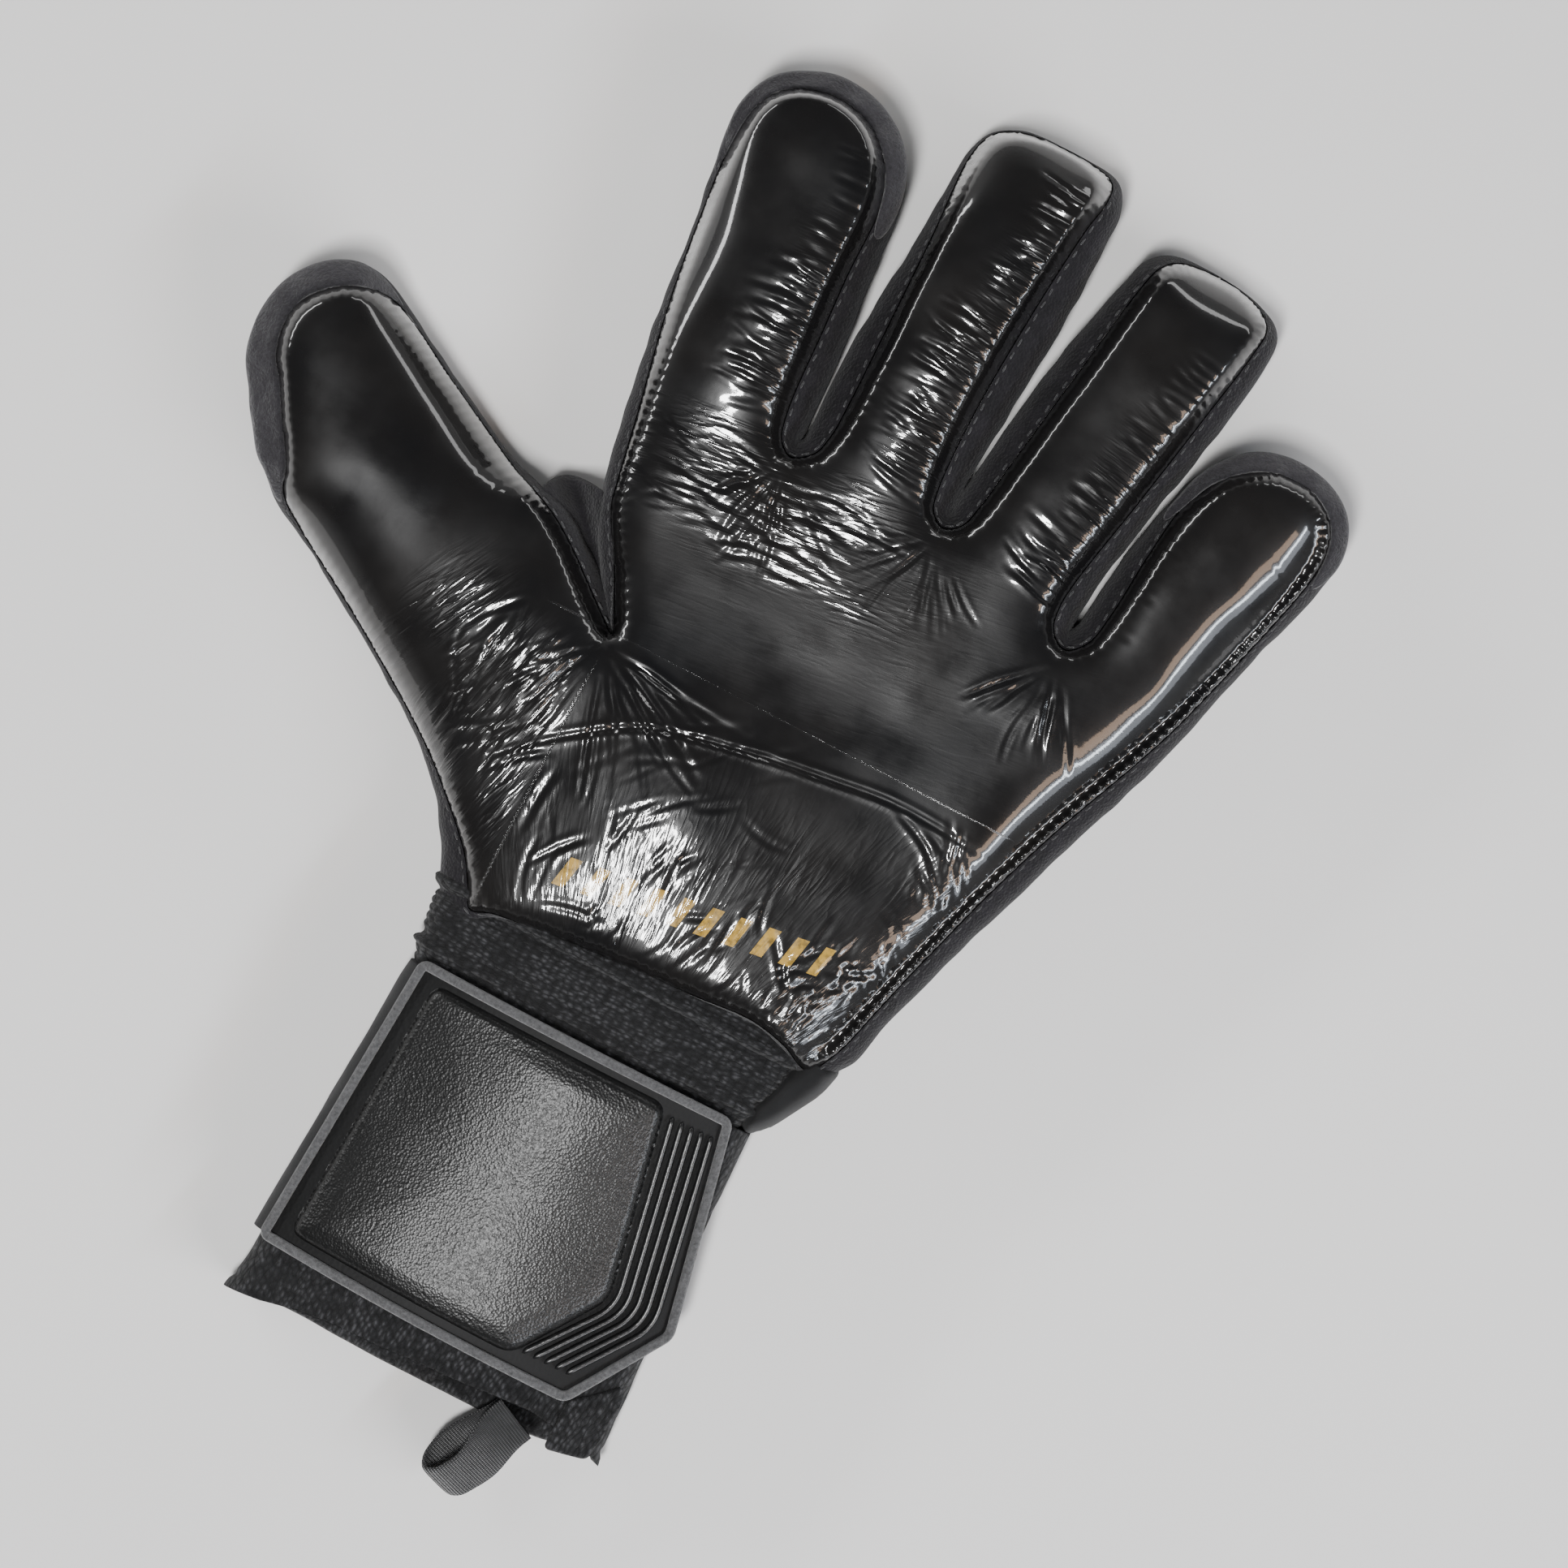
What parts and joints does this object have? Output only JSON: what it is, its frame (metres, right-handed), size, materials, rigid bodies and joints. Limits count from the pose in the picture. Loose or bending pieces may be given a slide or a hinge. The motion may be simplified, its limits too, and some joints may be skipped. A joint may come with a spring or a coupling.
{
  "type": "goalkeeper glove",
  "caption": "Left-hand goalkeeper glove lying palm up: foam-latex palm and fingers, fabric side walls, knitted wrist, flared cuff with wrap-over closure strap, pull loop.",
  "frame": {"origin": "on the flat back of the hand, in the middle of the hand, where the glove rests on the floor", "axes": "+Y from the cuff to the fingertips, +Z out of the palm, -X towards the thumb"},
  "size_m": [0.2238, 0.3135, 0.0321],
  "materials": {
    "latex": "black foam latex under a clear wrinkled protective film",
    "foam": "foam-backed lining",
    "back": "foam-laminated back of the hand",
    "gusset": "matte suede-like side fabric",
    "knit": "coarse elastic knit",
    "cuff": "diagonal ribbed knit",
    "strap": "matte pebble-grained rubber",
    "tape": "grey felted edge tape",
    "hook_loop": "hook-and-loop patch",
    "ribbon": "woven ribbon"
  },
  "bodies": {
    "hand": {"palm_latex": "latex", "palm_foam": "foam", "back_panel": "back", "side_gussets": "gusset", "thumb_web_gusset": "gusset", "crotch_gussets": "gusset", "wrist_band": "knit", "wrist_side_gore": "gusset"},
    "cuff": {"cuff_front_panel": "cuff", "cuff_back_panel": "cuff", "cuff_side_bands": "cuff", "strap_root": "cuff", "loop_patch": "hook_loop", "cuff_end_flap": "cuff"},
    "strap": {"strap_base": "strap", "strap_edge_tape": "tape", "strap_pad": "strap", "strap_ribs": "strap", "hook_patch": "hook_loop"},
    "pull_loop": {"pull_loop": "ribbon"},
    "index_lower": {"index_lower_latex": "latex", "index_lower_back": "back", "index_lower_gussets": "gusset", "index_flex_zones": "latex"},
    "index_upper": {"index_upper_latex": "latex", "index_upper_back": "back", "index_upper_gussets": "gusset", "index_tip": "gusset"},
    "middle_lower": {"middle_lower_latex": "latex", "middle_lower_back": "back", "middle_lower_gussets": "gusset", "middle_flex_zones": "latex"},
    "middle_upper": {"middle_upper_latex": "latex", "middle_upper_back": "back", "middle_upper_gussets": "gusset", "middle_tip": "gusset"},
    "ring_lower": {"ring_lower_latex": "latex", "ring_lower_back": "back", "ring_lower_gussets": "gusset", "ring_flex_zones": "latex"},
    "ring_upper": {"ring_upper_latex": "latex", "ring_upper_back": "back", "ring_upper_gussets": "gusset", "ring_tip": "gusset"},
    "little_lower": {"little_lower_latex": "latex", "little_lower_back": "back", "little_lower_gussets": "gusset", "little_flex_zones": "latex"},
    "little_upper": {"little_upper_latex": "latex", "little_upper_back": "back", "little_upper_gussets": "gusset", "little_tip": "gusset"},
    "thumb_lower": {"thumb_lower_latex": "latex", "thumb_lower_back": "back", "thumb_lower_gussets": "gusset", "thumb_flex_zones": "latex"},
    "thumb_upper": {"thumb_upper_latex": "latex", "thumb_upper_back": "back", "thumb_upper_gussets": "gusset", "thumb_tip": "gusset"}
  },
  "joints": [
    {"name": "index_base_bend", "type": "hinge", "parent": "hand", "child": "index_lower", "pos_m": [-0.0383, 0.065, 0.018], "axis": [0.9981, 0.061, 0], "range_deg": [0, 55], "stiffness_Nm_per_rad": 0.03, "deforming": ["index_flex_zones"]},
    {"name": "index_middle_bend", "type": "hinge", "parent": "index_lower", "child": "index_upper", "pos_m": [-0.04038, 0.09894, 0.018], "axis": [0.9981, 0.061, 0], "range_deg": [0, 60], "stiffness_Nm_per_rad": 0.02, "deforming": ["index_flex_zones"]},
    {"name": "middle_base_bend", "type": "hinge", "parent": "hand", "child": "middle_lower", "pos_m": [-0.0012, 0.0655, 0.018], "axis": [0.9983, -0.0576, 0], "range_deg": [0, 55], "stiffness_Nm_per_rad": 0.03, "deforming": ["middle_flex_zones"]},
    {"name": "middle_middle_bend", "type": "hinge", "parent": "middle_lower", "child": "middle_upper", "pos_m": [0.00093, 0.10244, 0.018], "axis": [0.9983, -0.0576, 0], "range_deg": [0, 60], "stiffness_Nm_per_rad": 0.02, "deforming": ["middle_flex_zones"]},
    {"name": "ring_base_bend", "type": "hinge", "parent": "hand", "child": "ring_lower", "pos_m": [0.0339, 0.0615, 0.018], "axis": [0.9893, -0.1461, 0], "range_deg": [0, 55], "stiffness_Nm_per_rad": 0.03, "deforming": ["ring_flex_zones"]},
    {"name": "ring_middle_bend", "type": "hinge", "parent": "ring_lower", "child": "ring_upper", "pos_m": [0.03901, 0.09613, 0.018], "axis": [0.9893, -0.1461, 0], "range_deg": [0, 60], "stiffness_Nm_per_rad": 0.02, "deforming": ["ring_flex_zones"]},
    {"name": "little_base_bend", "type": "hinge", "parent": "hand", "child": "little_lower", "pos_m": [0.0669, 0.053, 0.018], "axis": [0.9799, -0.1994, 0], "range_deg": [0, 55], "stiffness_Nm_per_rad": 0.03, "deforming": ["little_flex_zones"]},
    {"name": "little_middle_bend", "type": "hinge", "parent": "little_lower", "child": "little_upper", "pos_m": [0.07228, 0.07946, 0.018], "axis": [0.9799, -0.1994, 0], "range_deg": [0, 60], "stiffness_Nm_per_rad": 0.02, "deforming": ["little_flex_zones"]},
    {"name": "thumb_base_bend", "type": "hinge", "parent": "hand", "child": "thumb_lower", "pos_m": [-0.056, 0.002, 0.018], "axis": [0.4924, 0.8704, 0], "range_deg": [0, 40], "stiffness_Nm_per_rad": 0.03, "deforming": ["thumb_flex_zones"]},
    {"name": "thumb_middle_bend", "type": "hinge", "parent": "thumb_lower", "child": "thumb_upper", "pos_m": [-0.08907, 0.02071, 0.018], "axis": [0.4924, 0.8704, 0], "range_deg": [0, 50], "stiffness_Nm_per_rad": 0.02, "deforming": ["thumb_flex_zones"]},
    {"name": "wrist_bend", "type": "hinge", "parent": "hand", "child": "cuff", "pos_m": [0, -0.055, 0.012], "axis": [-1, 0, 0], "range_deg": [-20, 35], "stiffness_Nm_per_rad": 0.08, "deforming": ["wrist_band", "wrist_side_gore"]},
    {"name": "strap_open", "type": "hinge", "parent": "cuff", "child": "strap", "pos_m": [-0.0409, -0.097, 0.0206], "axis": [-0.0586, -0.9983, 0], "range_deg": [0, 140]},
    {"name": "pull_loop_bend", "type": "hinge", "parent": "cuff", "child": "pull_loop", "pos_m": [0.022, -0.1446, 0.0085], "axis": [-0.9063, 0.4226, 0], "range_deg": [-10, 50], "stiffness_Nm_per_rad": 0.004}
  ]
}
